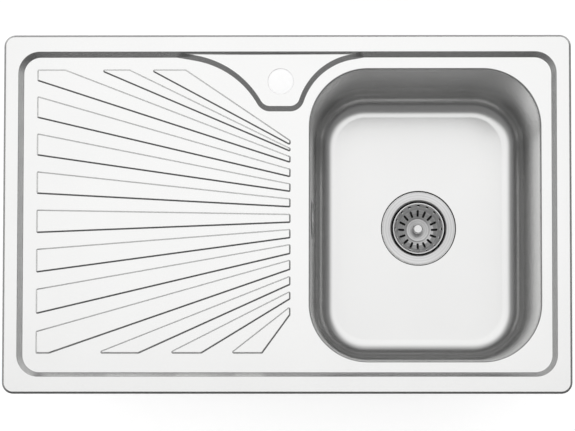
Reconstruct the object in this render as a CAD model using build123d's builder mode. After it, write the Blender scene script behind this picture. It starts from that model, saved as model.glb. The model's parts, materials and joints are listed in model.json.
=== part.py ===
from build123d import *
from math import atan2, cos, degrees, radians, sin, tan
import os

# An inset stainless steel kitchen sink: a pressed deck with a ribbed drainboard, a tap ledge and one
# deep bowl, with its basket-strainer waste, its overflow and the clips that clamp it to a worktop.
#
# Frame: +X to the bowl's end, +Y to the back, +Z up. The origin is at the middle of the plane in
# which the rim seal lies on the worktop. All sizes are in millimetres, all angles in degrees.

os.makedirs("parts", exist_ok=True)

# Sheet metal
sheet = 0.8

# Rim
sink_length = 790.0
sink_width = 500.0
sink_corner = 16.0
rim_height = 5.0
rim_edge = 3.5
skirt_clearance = 0.5

# Recess that holds the drainboard and the bowl, inside the flat rim
rim_end_width = 20.7
rim_side_width = 24.0
recess_corner = 30.0
recess_depth = 7.0
recess_run = 6.0
recess_fillet = 1.5

# Tap ledge: a plateau at the back of the recess, with a short nose and two flared sides.
# The nose and flares are given at the middle of the ledge's sloped edge.
ledge_drop = 3.0
ledge_run = 6.5
ledge_depth = 78.6
nose_left = -24.0
nose_right = 3.5
nose_left_radius = 18.0
nose_right_radius = 17.0
flare_left_radius = 128.0
flare_right_radius = 90.0
flare_left_turn = 60.0
flare_right_turn = 72.0
flare_lead_in = 10.0
tap_hole_d = 35.0
tap_hole_x = -9.3
tap_hole_setback = 64.7

# Bowl: its margins are the level strips between it and the recess's edge
bowl_length = 320.5
bowl_end_margin = 21.8
bowl_front_margin = 21.5
bowl_back_margin = 23.5
bowl_corner = 80.0
bowl_depth = 150.0
bowl_draft = 1.5
bowl_floor_radius = 30.0
mouth_radius = 3.0
mouth_drop = 10.0

# Drainboard ribs: raised bars that fan out from the bowl. Each row holds the heights Y at which a
# rib's back edge and front edge cross the fan's left end, then its right end.
rib_height = 1.5
rib_run = 1.8
rib_corner = 2.2
fan_margin = 27.6
fan_end_margin = 24.6
fan_back_margin = 23.0
fan_front_margin = 32.0
rib_edges = [
    (344.0, 286.6, 103.5, 96.0),
    (266.5, 238.8, 92.5, 87.0),
    (218.2, 187.0, 81.0, 71.5),
    (165.9, 135.2, 63.5, 51.5),
    (113.6, 82.4, 43.0, 31.0),
    (60.3, 28.7, 22.0, 9.5),
    (6.6, -26.1, 0.5, -12.0),
    (-48.2, -81.4, -20.5, -33.5),
    (-104.0, -139.2, -41.5, -55.5),
    (-162.8, -200.5, -63.0, -77.5),
    (-226.2, -258.9, -85.5, -98.5),
    (-286.5, -334.8, -106.5, -118.5),
    (-405.4, -626.1, -127.5, -140.5),
]

# Rim seal: it lies on the flat of the rim, inside the rounded edge
seal_width = 6.0

# Waste seat in the bowl floor
waste_hole_clearance = 3.0
waste_seat_clearance = 0.8
waste_seat_depth = 3.0
waste_seat_run = 1.5

# Waste flange and cup
flange_lap = 10.2
flange_sheet = 1.0
flange_edge = 0.4
cup_mouth_radius = 2.0
cup_bore_d = 82.0
cup_depth = 39.5
cup_floor_radius = 4.0
cup_hole_d = 46.0
spoke_width = 6.0
spoke_count = 4
joint_overlap = 0.5
seal_thickness = 1.5
seal_overlap = 2.0

# Centre screw of the waste: a hollow screw that guides the basket's stem
screw_wall = 3.0
screw_head_lap = 2.5
screw_head_height = 3.0
screw_length = 22.0
thread_clearance = 0.05

# Waste body
body_wall = 2.5
body_clearance = 8.0
body_flange_width = 7.0
body_flange_height = 4.0
body_depth = 36.0
body_funnel = 24.0
outlet_d = 47.8
outlet_bore_d = 41.0
outlet_length = 30.0
boss_wall = 4.0
boss_rib = 2.5
boss_rib_count = 4
boss_rib_height = 14.0
spigot_wall = 3.0
spigot_length = 27.5
spigot_drop = 22.0

# Strainer basket
basket_sheet = 0.8
basket_rim_gap = 2.0
basket_rim_drop = 0.3
basket_rim_width = 1.4
basket_wall_height = 18.0
basket_wall_in = 9.0
basket_floor_radius = 12.0
basket_depth = 22.0
basket_dish_d = 34.0
basket_dish_fall = 1.5
basket_hole_d = 5.0
basket_hole_drop = 5.0
basket_slot_width = 3.4
basket_slot_inner_d = 40.8
basket_slot_outer_d = 61.0
basket_opening_count = 16

# Knob with its stem, plug and nut
seat_gap = 0.1
stem_d = 6.0
stem_clearance = 0.05
stem_length = 31.0
knob_d = 14.8
knob_height = 7.0
knob_edge = 2.0
knob_neck_wall = 1.0
knob_neck_height = 9.0
stopper_lap = 4.0
stopper_rim_height = 5.0
stopper_cone_height = 2.5
stopper_recess_clearance = 1.5
stopper_recess_depth = 5.4
stopper_wall = 2.0
stopper_gap = 0.3
nut_height = 2.2
nut_wall = 1.0

# Overflow
overflow_drop = 50.0
overflow_hole_d = 48.0
rosette_d = 58.0
rosette_height = 2.6
rosette_sheet = 1.0
rosette_edge = 1.0
rosette_hole_d = 4.5
rosette_inner_circle_d = 24.0
rosette_inner_count = 8
rosette_outer_circle_d = 42.0
rosette_outer_count = 16
overflow_screw_d = 5.0
overflow_screw_head_d = 11.0
overflow_screw_head_height = 1.6
overflow_head_clearance = 0.3
overflow_slot_width = 1.2
overflow_slot_depth = 1.0
overflow_screw_length = 20.0
overflow_gasket_height = 2.0
overflow_flange_d = 60.0
overflow_chamber_d = 52.0
overflow_chamber_depth = 27.0
overflow_boss_d = 10.0
overflow_chamber_edge = 2.0

# Overflow hose
hose_bore_d = 20.0
hose_wall = 2.5
hose_bend = 40.0
hose_rib_pitch = 4.0
hose_rib_depth = 1.5
hose_cuff = 9.0
hose_nut_wall = 2.7
hose_nut_sides = 12
hose_nut_height = 16.0
hose_nut_grip = 9.0
hose_nut_clearance = 0.3
hose_nut_gap = 1.5
overflow_spigot_length = 14.0

# Sound-deadening mat
pad_thickness = 2.0
pad_margin = 8.0
pad_corner = 40.0

# Clips: the cut-out that the sink drops into lies inside the outer edge by cutout_inset
cutout_inset = 10.0
clip_axis_inset = 13.0
clip_front_x = [-250.0, 0.0, 250.0]
clip_back_x = [-280.0, 140.0, 290.0]
clip_side_y = 0.0
bracket_sheet = 1.5
bracket_width = 24.0
bracket_web_offset = 9.0
bracket_top_flange = 5.8
bracket_height = 24.0
bracket_toe = 8.0
clip_thread_d = 5.0
clip_thread_clearance = 0.1
clip_nut_wall = 1.5
clip_nut_height = 4.0
clip_screw_length = 25.0
clip_screw_proud = 0.5
clip_head_height = 3.5
claw_sheet = 2.0
claw_gap = 0.1
claw_width = 14.0
claw_reach = 28.0
claw_toe_height = 3.0
claw_tooth_pitch = 2.8

# Sizes that follow from those above
recess_length = sink_length - 2 * rim_end_width
recess_width = sink_width - 2 * rim_side_width
bowl_width = recess_width - bowl_front_margin - bowl_back_margin
cup_d = cup_bore_d + 2 * flange_sheet
waste_hole_d = cup_d + 2 * waste_hole_clearance
flange_d = waste_hole_d + 2 * flange_lap
waste_seat_d = flange_d + 2 * waste_seat_clearance
pad_hole_d = waste_seat_d + 2 * pad_margin
screw_d = stem_d + 2 * screw_wall
screw_head_d = screw_d + 2 * screw_head_lap
boss_d = screw_d + 2 * boss_wall
knob_neck_d = stem_d + 2 * knob_neck_wall
stopper_recess_d = screw_head_d + 2 * stopper_recess_clearance
stopper_hub_d = stopper_recess_d + 2 * stopper_wall
nut_flats = stem_d + 2 * nut_wall
body_bore_d = cup_d + 2 * body_clearance
body_d = body_bore_d + 2 * body_wall
body_flange_d = body_bore_d + 2 * body_flange_width
hose_d = hose_bore_d + 2 * hose_wall
spigot_bore_d = hose_bore_d + 2 * joint_overlap
spigot_d = spigot_bore_d + 2 * spigot_wall
hose_nut_d = hose_d + 2 * (hose_nut_clearance + hose_nut_wall)
clip_nut_flats = clip_thread_d + 2 * clip_nut_wall

# Heights of the main levels
rim_z = rim_height
deck_z = rim_z - recess_depth
ledge_z = rim_z - ledge_drop
mouth_z = deck_z - mouth_drop
floor_z = deck_z - bowl_depth
seat_z = floor_z - waste_seat_depth

# Places in plan
bowl_x = recess_length / 2 - bowl_end_margin - bowl_length / 2
bowl_y = (bowl_front_margin - bowl_back_margin) / 2
fan_left = -recess_length / 2 + fan_end_margin
fan_right = bowl_x - bowl_length / 2 - fan_margin
fan_back = recess_width / 2 - fan_back_margin
fan_front = -recess_width / 2 + fan_front_margin
tap_hole_y = sink_width / 2 - tap_hole_setback


def slope_angle(run, rise):
    """Angle between a sloped wall and the vertical."""
    return degrees(atan2(run, rise))


def ledge_outline(spread):
    """The tap ledge's outline, moved out by a spread from the middle of its sloped edge."""
    back_y = recess_width / 2 + 2 * ledge_run
    front_y = recess_width / 2 - ledge_depth - spread
    rise = radians(flare_lead_in)
    with BuildLine() as outline:
        nose = Line((nose_left, front_y), (nose_right, front_y))
        right_nose = JernArc(nose @ 1, nose % 1, nose_right_radius + spread, flare_right_turn)
        right_flare = JernArc(
            right_nose @ 1, right_nose % 1, flare_right_radius - spread, flare_lead_in - flare_right_turn
        )
        right_lead = (back_y - (right_flare @ 1).Y) / sin(rise)
        right_end = Line(right_flare @ 1, right_flare @ 1 + (right_flare % 1) * right_lead)
        left_nose = JernArc(nose @ 0, (-1, 0), nose_left_radius + spread, -flare_left_turn)
        left_flare = JernArc(
            left_nose @ 1, left_nose % 1, flare_left_radius - spread, flare_left_turn - flare_lead_in
        )
        left_lead = (back_y - (left_flare @ 1).Y) / sin(rise)
        left_end = Line(left_flare @ 1, left_flare @ 1 + (left_flare % 1) * left_lead)
        Line(right_end @ 1, left_end @ 1)
    return outline.line


def level_face(block, height, reach=0.01):
    """The largest level face of a block at a height, or within a small reach of it."""
    near = block.faces().filter_by(Axis.Z).filter_by_position(Axis.Z, height - reach, height + reach)
    return near.sort_by(SortBy.AREA)[-1]


def pressed_block(skin):
    """A solid block under one face of the pressed sheet: skin 0 gives the visible face, and skin
    equal to the sheet's thickness gives the hidden one."""
    with BuildPart() as block:
        with BuildSketch(Plane.XY.offset(rim_z - skin)):
            RectangleRounded(sink_length - 2 * skin, sink_width - 2 * skin, sink_corner - skin)
        extrude(amount=-(rim_z - mouth_z))
        fillet(block.faces().sort_by(Axis.Z)[-1].edges(), rim_edge - skin)

        with BuildSketch(Plane.XY.offset(rim_z - skin)):
            RectangleRounded(recess_length, recess_width, recess_corner)
        extrude(amount=-recess_depth, taper=slope_angle(recess_run, recess_depth), mode=Mode.SUBTRACT)
        rim_face = block.faces().filter_by(Axis.Z).sort_by(Axis.Z)[-1]
        fillet(rim_face.inner_wires()[0].edges(), recess_fillet)
        fillet(level_face(block, deck_z - skin).outer_wire().edges(), recess_fillet)

        with BuildSketch(Plane.XY.offset(deck_z - skin)):
            make_face(ledge_outline(ledge_run / 2).edges())
        extrude(amount=ledge_z - deck_z, taper=slope_angle(ledge_run, ledge_z - deck_z))

        for back_left, front_left, back_right, front_right in rib_edges:
            with BuildSketch(Plane.XY.offset(deck_z - skin)) as rib:
                Polygon(
                    (fan_left, back_left),
                    (fan_left, front_left),
                    (fan_right, front_right),
                    (fan_right, back_right),
                    align=None,
                )
                with Locations(((fan_left + fan_right) / 2, (fan_back + fan_front) / 2)):
                    Rectangle(fan_right - fan_left, fan_back - fan_front, mode=Mode.INTERSECT)
                fillet(rib.vertices(), rib_corner)
            extrude(amount=rib_height, taper=slope_angle(rib_run, rib_height))

        with BuildSketch(Plane.XY.offset(deck_z - skin)):
            with Locations((bowl_x, bowl_y)):
                RectangleRounded(bowl_length + 2 * skin, bowl_width + 2 * skin, bowl_corner + skin)
        extrude(amount=-2 * mouth_drop, mode=Mode.SUBTRACT)
        deck_holes = level_face(block, deck_z - skin).inner_wires()
        mouth = deck_holes.filter_by(lambda wire: wire.center().X > fan_right)
        fillet(mouth.edges(), mouth_radius - skin)
    return block.part


with BuildPart() as deck_panel:
    add(pressed_block(0))
    add(pressed_block(sheet), mode=Mode.SUBTRACT)
    with BuildSketch(Plane.XY.offset(skirt_clearance)):
        RectangleRounded(sink_length, sink_width, sink_corner)
        RectangleRounded(
            sink_length - 2 * sheet, sink_width - 2 * sheet, sink_corner - sheet, mode=Mode.SUBTRACT
        )
    extrude(amount=-(rim_z - mouth_z), mode=Mode.SUBTRACT)
    with Locations((tap_hole_x, tap_hole_y, ledge_z)):
        Hole(tap_hole_d / 2)
deck_panel.part.label = "deck_panel"
export_step(deck_panel.part, "parts/deck_panel.step")


# Bowl: drawn with a draft, a rounded floor, a stepped seat for the waste and a hole for the overflow.
overflow_z = deck_z - overflow_drop
overflow_wall_x = bowl_x - bowl_length / 2 + (mouth_z - overflow_z) * tan(radians(bowl_draft))
overflow_plane = Plane(
    origin=(overflow_wall_x, bowl_y, overflow_z),
    x_dir=(0, 1, 0),
    z_dir=(cos(radians(bowl_draft)), 0, sin(radians(bowl_draft))),
)
waste = Plane(origin=(bowl_x, bowl_y, 0))


def drawn_block(skin):
    """The solid that fills the bowl up to one face of its sheet: skin 0 gives the inner face, and
    skin equal to the sheet's thickness gives the outer one."""
    with BuildPart() as block:
        with BuildSketch(waste.offset(mouth_z)):
            RectangleRounded(bowl_length + 2 * skin, bowl_width + 2 * skin, bowl_corner + skin)
        extrude(amount=-(mouth_z - floor_z + skin), taper=bowl_draft)
        fillet(block.edges().group_by(Axis.Z)[0], bowl_floor_radius + skin)
        with BuildSketch(waste.offset(floor_z - skin)):
            Circle(waste_seat_d / 2 + waste_seat_run + skin)
        extrude(amount=-waste_seat_depth, taper=slope_angle(waste_seat_run, waste_seat_depth))
    return block.part


with BuildPart() as bowl:
    add(drawn_block(sheet))
    add(drawn_block(0), mode=Mode.SUBTRACT)
    with BuildSketch(waste.offset(seat_z)):
        Circle(waste_hole_d / 2)
    extrude(amount=-2 * sheet, mode=Mode.SUBTRACT)
    with BuildSketch(overflow_plane.offset(2 * sheet)):
        Circle(overflow_hole_d / 2)
    extrude(amount=-4 * sheet, mode=Mode.SUBTRACT)
bowl.part.label = "bowl"
export_step(bowl.part, "parts/bowl.step")


# Rim seal: a closed foam strip between the rim and the worktop.
with BuildPart() as rim_seal:
    with BuildSketch():
        RectangleRounded(
            sink_length - 2 * rim_edge, sink_width - 2 * rim_edge, sink_corner - rim_edge
        )
        RectangleRounded(
            sink_length - 2 * (rim_edge + seal_width),
            sink_width - 2 * (rim_edge + seal_width),
            sink_corner - rim_edge - seal_width,
            mode=Mode.SUBTRACT,
        )
    extrude(amount=rim_z - sheet)
rim_seal.part.label = "rim_seal"
export_step(rim_seal.part, "parts/rim_seal.step")


# Sound-deadening mat glued under the flat of the bowl floor, round the waste seat.
floor_inset = (mouth_z - floor_z) * tan(radians(bowl_draft)) + bowl_floor_radius + pad_margin

with BuildPart() as sound_pad:
    with BuildSketch(waste.offset(floor_z - sheet)):
        RectangleRounded(bowl_length - 2 * floor_inset, bowl_width - 2 * floor_inset, pad_corner)
        Circle(pad_hole_d / 2, mode=Mode.SUBTRACT)
    extrude(amount=-pad_thickness)
sound_pad.part.label = "sound_pad"
export_step(sound_pad.part, "parts/sound_pad.step")


# Waste: every turned piece is drawn as half a section, radius against height, and revolved.
def section_plane(base):
    """A plane through the axis of a base plane, with radius as its X and height as its Y."""
    return Plane(origin=base.origin, x_dir=base.x_dir, z_dir=base.y_dir * -1)


def turning_axis(base):
    """The axis that stands on the origin of a base plane."""
    return Axis(base.origin, base.z_dir)


def round_corner(section, x, y, radius):
    """Rounds the corner of a sketch that lies nearest to a point."""
    corner = section.vertices().sort_by_distance((x, y, 0))[0]
    fillet(corner, radius)


def waste_spokes(count, width, inner_d, outer_d, top_z):
    """The plan of the bars that join a hub to a ring round the waste's axis."""
    with BuildSketch(waste.offset(top_z)) as spokes:
        with PolarLocations((outer_d + inner_d) / 4, count):
            Rectangle((outer_d - inner_d) / 2 + 2 * joint_overlap, width)
    return spokes.sketch


flange_bottom_z = seat_z + seal_thickness
flange_top_z = flange_bottom_z + flange_sheet
cup_floor_z = flange_top_z - cup_depth
cup_under_z = cup_floor_z - flange_sheet

with BuildPart() as waste_flange:
    with BuildSketch(section_plane(waste)) as section:
        with BuildLine():
            Polyline(
                (cup_hole_d / 2, cup_under_z),
                (cup_d / 2, cup_under_z),
                (cup_d / 2, flange_bottom_z),
                (flange_d / 2, flange_bottom_z),
                (flange_d / 2, flange_top_z),
                (cup_bore_d / 2, flange_top_z),
                (cup_bore_d / 2, cup_floor_z),
                (cup_hole_d / 2, cup_floor_z),
                close=True,
            )
        make_face()
        round_corner(section, cup_d / 2, cup_under_z, cup_floor_radius)
        round_corner(section, cup_bore_d / 2, cup_floor_z, cup_floor_radius - flange_sheet)
        round_corner(section, cup_d / 2, flange_bottom_z, cup_mouth_radius)
        round_corner(section, cup_bore_d / 2, flange_top_z, cup_mouth_radius + flange_sheet)
        round_corner(section, flange_d / 2, flange_top_z, flange_edge)
    revolve(axis=turning_axis(waste))
    spokes = waste_spokes(spoke_count, spoke_width, boss_d, cup_hole_d, cup_floor_z)
    extrude(spokes, amount=-flange_sheet)
    with BuildSketch(waste.offset(cup_floor_z)):
        Circle(boss_d / 2)
        Circle(screw_d / 2 + thread_clearance, mode=Mode.SUBTRACT)
    extrude(amount=-flange_sheet)
    with BuildSketch(waste.offset(cup_floor_z)):
        Circle(screw_d / 2 + thread_clearance)
    extrude(amount=-flange_sheet, mode=Mode.SUBTRACT)
waste_flange.part.label = "waste_flange"
export_step(waste_flange.part, "parts/waste_flange.step")


def waste_ring(inner_d, outer_d, bottom_z, height):
    """A flat ring round the waste's axis."""
    with BuildPart() as ring:
        with BuildSketch(waste.offset(bottom_z)):
            Circle(outer_d / 2)
            Circle(inner_d / 2, mode=Mode.SUBTRACT)
        extrude(amount=height)
    return ring.part


flange_seal = waste_ring(waste_hole_d + 2 * seal_overlap, flange_d - 2 * seal_overlap, seat_z, seal_thickness)
flange_seal.label = "flange_seal"
export_step(flange_seal, "parts/flange_seal.step")

seat_under_z = seat_z - sheet
body_top_z = seat_under_z - seal_thickness
body_seal = waste_ring(
    waste_hole_d + 2 * seal_overlap, body_flange_d - 2 * seal_overlap, body_top_z, seal_thickness
)
body_seal.label = "body_seal"
export_step(body_seal, "parts/body_seal.step")

# The centre screw clamps the cup to the body, and its bore guides the basket's stem.
screw_head_z = cup_floor_z + screw_head_height

with BuildPart() as waste_screw:
    with BuildSketch(waste.offset(cup_floor_z)):
        RegularPolygon(screw_head_d / 2, 6)
    extrude(amount=screw_head_height)
    with BuildSketch(waste.offset(cup_floor_z)):
        Circle(screw_d / 2)
    extrude(amount=-screw_length)
    with BuildSketch(waste.offset(screw_head_z)):
        Circle(stem_d / 2 + stem_clearance)
    extrude(amount=-(screw_head_height + screw_length), mode=Mode.SUBTRACT)
waste_screw.part.label = "waste_screw"
export_step(waste_screw.part, "parts/waste_screw.step")

# Waste body: a chamber wider than the cup, so that the overflow's water runs down round the cup,
# a funnel to the outlet thread, and a ribbed boss that takes the centre screw.
chamber_r = body_bore_d / 2
spigot_end_x = bowl_x - body_d / 2 - spigot_length
chamber_bottom_z = body_top_z - body_depth
funnel_bottom_z = chamber_bottom_z - body_funnel
outlet_bottom_z = funnel_bottom_z - outlet_length
boss_bottom_z = cup_floor_z - screw_length - body_wall
spigot_z = body_top_z - spigot_drop

with BuildPart() as waste_cavity:
    with BuildSketch(section_plane(waste)):
        with BuildLine():
            Polyline(
                (0, body_top_z),
                (chamber_r, body_top_z),
                (chamber_r, chamber_bottom_z),
                (outlet_bore_d / 2, funnel_bottom_z),
                (outlet_bore_d / 2, outlet_bottom_z),
                (0, outlet_bottom_z),
                close=True,
            )
        make_face()
    revolve(axis=turning_axis(waste))
    with BuildSketch(waste.offset(cup_under_z)):
        Circle(boss_d / 2)
    extrude(amount=boss_bottom_z - cup_under_z, mode=Mode.SUBTRACT)
    ribs = waste_spokes(boss_rib_count, boss_rib, boss_d, body_bore_d, boss_bottom_z)
    extrude(ribs, amount=boss_rib_height, mode=Mode.SUBTRACT)

with BuildPart() as waste_body:
    with BuildSketch(section_plane(waste)):
        with BuildLine():
            Polyline(
                (0, body_top_z),
                (body_flange_d / 2, body_top_z),
                (body_flange_d / 2, body_top_z - body_flange_height),
                (body_d / 2, body_top_z - body_flange_height),
                (body_d / 2, chamber_bottom_z - body_wall / 2),
                (outlet_d / 2, funnel_bottom_z - body_wall / 2),
                (outlet_d / 2, outlet_bottom_z),
                (0, outlet_bottom_z),
                close=True,
            )
        make_face()
    revolve(axis=turning_axis(waste))
    spigot_plane = Plane(origin=(spigot_end_x, bowl_y, spigot_z), z_dir=(1, 0, 0))
    with BuildSketch(spigot_plane):
        Circle(spigot_d / 2)
    extrude(amount=spigot_length + body_wall / 2)
    with BuildSketch(spigot_plane):
        Circle(spigot_bore_d / 2)
    extrude(amount=spigot_length + 2 * body_wall, mode=Mode.SUBTRACT)
    add(waste_cavity.part, mode=Mode.SUBTRACT)
    with BuildSketch(waste.offset(cup_under_z)):
        Circle(screw_d / 2 + thread_clearance)
    extrude(amount=boss_bottom_z - cup_under_z, mode=Mode.SUBTRACT)
waste_body.part.label = "waste_body"
export_step(waste_body.part, "parts/waste_body.step")


# Strainer basket: a rim, a conical wall with a row of holes, a rounded floor with radial slots, and a
# shallow dish that falls to a level seat for the knob.
basket_top_z = flange_top_z - basket_rim_drop
basket_rim_r = cup_bore_d / 2 - basket_rim_gap
basket_wall_r = basket_rim_r - basket_rim_width
basket_dish_z = basket_top_z - basket_depth
basket_hub_z = basket_dish_z - basket_dish_fall

with BuildPart() as strainer_basket:
    with BuildSketch(section_plane(waste)):
        with BuildLine() as upper_face:
            rim = Line((basket_rim_r, basket_top_z), (basket_wall_r, basket_top_z))
            wall = FilletPolyline(
                rim @ 1,
                (basket_wall_r - basket_wall_in, basket_top_z - basket_wall_height),
                (basket_dish_d / 2, basket_dish_z),
                radius=basket_floor_radius,
            )
            dish = Line(wall @ 1, (knob_neck_d / 2, basket_hub_z))
            Line(dish @ 1, (stem_d / 2 + stem_clearance, basket_hub_z))
            offset(amount=basket_sheet, side=Side.LEFT)
        make_face()
    revolve(axis=turning_axis(waste))
    with BuildSketch(waste.offset(basket_top_z)):
        slot_middle = (basket_slot_inner_d + basket_slot_outer_d) / 4
        with PolarLocations(slot_middle, basket_opening_count):
            SlotOverall((basket_slot_outer_d - basket_slot_inner_d) / 2, basket_slot_width)
    extrude(amount=-2 * basket_depth, mode=Mode.SUBTRACT)
    for index in range(basket_opening_count):
        angle = 360 * index / basket_opening_count
        hole_plane = Plane(
            origin=(bowl_x, bowl_y, basket_top_z - basket_hole_drop),
            z_dir=(cos(radians(angle)), sin(radians(angle)), 0),
        )
        with BuildSketch(hole_plane):
            Circle(basket_hole_d / 2)
        extrude(amount=basket_rim_r, mode=Mode.SUBTRACT)
strainer_basket.part.label = "strainer_basket"
export_step(strainer_basket.part, "parts/strainer_basket.step")

# The knob, its neck and its stem are one turned piece; the stem slides in the centre screw.
knob_base_z = basket_hub_z + seat_gap
knob_head_z = knob_base_z + knob_neck_height
stem_bottom_z = knob_base_z - stem_length

with BuildPart() as pull_knob:
    with BuildSketch(section_plane(waste)) as section:
        with BuildLine():
            Polyline(
                (0, stem_bottom_z),
                (stem_d / 2, stem_bottom_z),
                (stem_d / 2, knob_base_z),
                (knob_neck_d / 2, knob_base_z),
                (knob_neck_d / 2, knob_head_z),
                (knob_d / 2, knob_head_z),
                (knob_d / 2, knob_head_z + knob_height),
                (0, knob_head_z + knob_height),
                close=True,
            )
        make_face()
        round_corner(section, knob_d / 2, knob_head_z + knob_height, knob_edge)
        round_corner(section, knob_d / 2, knob_head_z, knob_edge)
    revolve(axis=turning_axis(waste))
pull_knob.part.label = "pull_knob"
export_step(pull_knob.part, "parts/pull_knob.step")

# The plug closes the hole in the cup's floor; its recess clears the centre screw's head.
stopper_bottom_z = cup_floor_z + stopper_gap
stopper_top_z = basket_hub_z - basket_sheet - seat_gap
stopper_r = cup_hole_d / 2 + stopper_lap
nut_top_z = stopper_bottom_z + stopper_recess_depth

with BuildPart() as basket_stopper:
    with BuildSketch(section_plane(waste)):
        with BuildLine():
            Polyline(
                (stem_d / 2 + stem_clearance, nut_top_z),
                (stopper_recess_d / 2, nut_top_z),
                (stopper_recess_d / 2, stopper_bottom_z),
                (stopper_r, stopper_bottom_z),
                (stopper_r, stopper_bottom_z + stopper_rim_height),
                (stopper_hub_d / 2, stopper_bottom_z + stopper_rim_height + stopper_cone_height),
                (stopper_hub_d / 2, stopper_top_z),
                (stem_d / 2 + stem_clearance, stopper_top_z),
                close=True,
            )
        make_face()
    revolve(axis=turning_axis(waste))
basket_stopper.part.label = "basket_stopper"
export_step(basket_stopper.part, "parts/basket_stopper.step")

with BuildPart() as stem_nut:
    with BuildSketch(waste.offset(nut_top_z)):
        RegularPolygon(nut_flats / 2, 6, major_radius=False)
        Circle(stem_d / 2 + stem_clearance, mode=Mode.SUBTRACT)
    extrude(amount=-nut_height)
stem_nut.part.label = "stem_nut"
export_step(stem_nut.part, "parts/stem_nut.step")


# Overflow: the rosette lies on the bowl's wall, and its screw pulls the housing behind against it.
gasket_back = -sheet - overflow_gasket_height
chamber_back = gasket_back - overflow_chamber_depth

with BuildPart() as overflow_rosette:
    with BuildSketch(section_plane(overflow_plane)):
        with BuildLine():
            edge = Line(
                (rosette_d / 2, rosette_sheet), (rosette_d / 2 - rosette_edge, rosette_height - rosette_edge)
            )
            face = Line(edge @ 1, (overflow_screw_head_d / 2, rosette_height))
            dimple_z = rosette_height - overflow_screw_head_height
            Line(face @ 1, (overflow_screw_d / 2 + thread_clearance, dimple_z))
            offset(amount=rosette_sheet, side=Side.LEFT)
        make_face()
    revolve(axis=turning_axis(overflow_plane))
    with BuildSketch(overflow_plane):
        with PolarLocations(rosette_inner_circle_d / 2, rosette_inner_count):
            Circle(rosette_hole_d / 2)
        with PolarLocations(rosette_outer_circle_d / 2, rosette_outer_count):
            Circle(rosette_hole_d / 2)
    extrude(amount=2 * rosette_height, mode=Mode.SUBTRACT)
overflow_rosette.part.label = "overflow_rosette"
export_step(overflow_rosette.part, "parts/overflow_rosette.step")

with BuildPart() as overflow_screw:
    with BuildSketch(section_plane(overflow_plane)):
        with BuildLine():
            Polyline(
                (0, rosette_height),
                (overflow_screw_head_d / 2 - overflow_head_clearance, rosette_height),
                (overflow_screw_d / 2, rosette_height - overflow_screw_head_height),
                (overflow_screw_d / 2, rosette_height - overflow_screw_length),
                (0, rosette_height - overflow_screw_length),
                close=True,
            )
        make_face()
    revolve(axis=turning_axis(overflow_plane))
    with BuildSketch(overflow_plane.offset(rosette_height)):
        Rectangle(overflow_screw_head_d, overflow_slot_width)
    extrude(amount=-overflow_slot_depth, mode=Mode.SUBTRACT)
overflow_screw.part.label = "overflow_screw"
export_step(overflow_screw.part, "parts/overflow_screw.step")

with BuildPart() as overflow_gasket:
    with BuildSketch(overflow_plane.offset(-sheet)):
        Circle(overflow_flange_d / 2)
        Circle(overflow_hole_d / 2 + seal_overlap / 2, mode=Mode.SUBTRACT)
    extrude(amount=-overflow_gasket_height)
overflow_gasket.part.label = "overflow_gasket"
export_step(overflow_gasket.part, "parts/overflow_gasket.step")

# The housing is a round chamber behind the wall, with a screw boss and a spigot that points down.
hose_x = overflow_wall_x - sheet - hose_nut_gap - hose_nut_d / 2
hose_axis = Plane(origin=(hose_x, bowl_y, 0))
hose_top_z = overflow_z - overflow_chamber_d / 2 - overflow_spigot_length

with BuildPart() as overflow_body:
    with BuildSketch(overflow_plane.offset(gasket_back)):
        Circle(overflow_flange_d / 2)
    extrude(amount=-body_wall)
    with BuildSketch(overflow_plane.offset(gasket_back)):
        Circle(overflow_chamber_d / 2)
    extrude(amount=-overflow_chamber_depth)
    back_edge = overflow_body.edges().filter_by(GeomType.CIRCLE).sort_by(Axis.X)[0]
    fillet(back_edge, overflow_chamber_edge)
    with BuildSketch(hose_axis.offset(hose_top_z)):
        Circle(spigot_d / 2)
    extrude(amount=overflow_spigot_length + body_wall + spigot_d / 2)
    with BuildSketch(overflow_plane.offset(gasket_back)):
        Circle(overflow_chamber_d / 2 - body_wall)
    extrude(amount=body_wall - overflow_chamber_depth, mode=Mode.SUBTRACT)
    with BuildSketch(hose_axis.offset(hose_top_z)):
        Circle(spigot_bore_d / 2)
    extrude(amount=overflow_spigot_length + body_wall + spigot_d / 2, mode=Mode.SUBTRACT)
    with BuildSketch(overflow_plane.offset(chamber_back)):
        Circle(overflow_boss_d / 2)
    extrude(amount=overflow_chamber_depth)
    with BuildSketch(overflow_plane.offset(gasket_back)):
        Circle(overflow_screw_d / 2 + thread_clearance)
    extrude(amount=body_wall - overflow_chamber_depth, mode=Mode.SUBTRACT)
overflow_body.part.label = "overflow_body"
export_step(overflow_body.part, "parts/overflow_body.step")


# Overflow hose: straight down beside the bowl, one bend, and level into the waste body's spigot.
with BuildLine() as hose_route:
    drop = Line((hose_x, bowl_y, hose_top_z), (hose_x, bowl_y, spigot_z + hose_bend))
    bend = TangentArc((drop @ 1, (hose_x + hose_bend, bowl_y, spigot_z)), tangent=drop % 1)
    Line(bend @ 1, (spigot_end_x, bowl_y, spigot_z))
hose_path = hose_route.wires()[0]


def hose_section(distance, radius):
    """A round section of the hose at a distance along its route."""
    base = Plane(
        origin=hose_path.position_at(distance, position_mode=PositionMode.LENGTH),
        x_dir=(0, 1, 0),
        z_dir=hose_path.tangent_at(distance, position_mode=PositionMode.LENGTH),
    )
    with BuildSketch(base) as section:
        Circle(radius)
    return section.sketch


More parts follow.
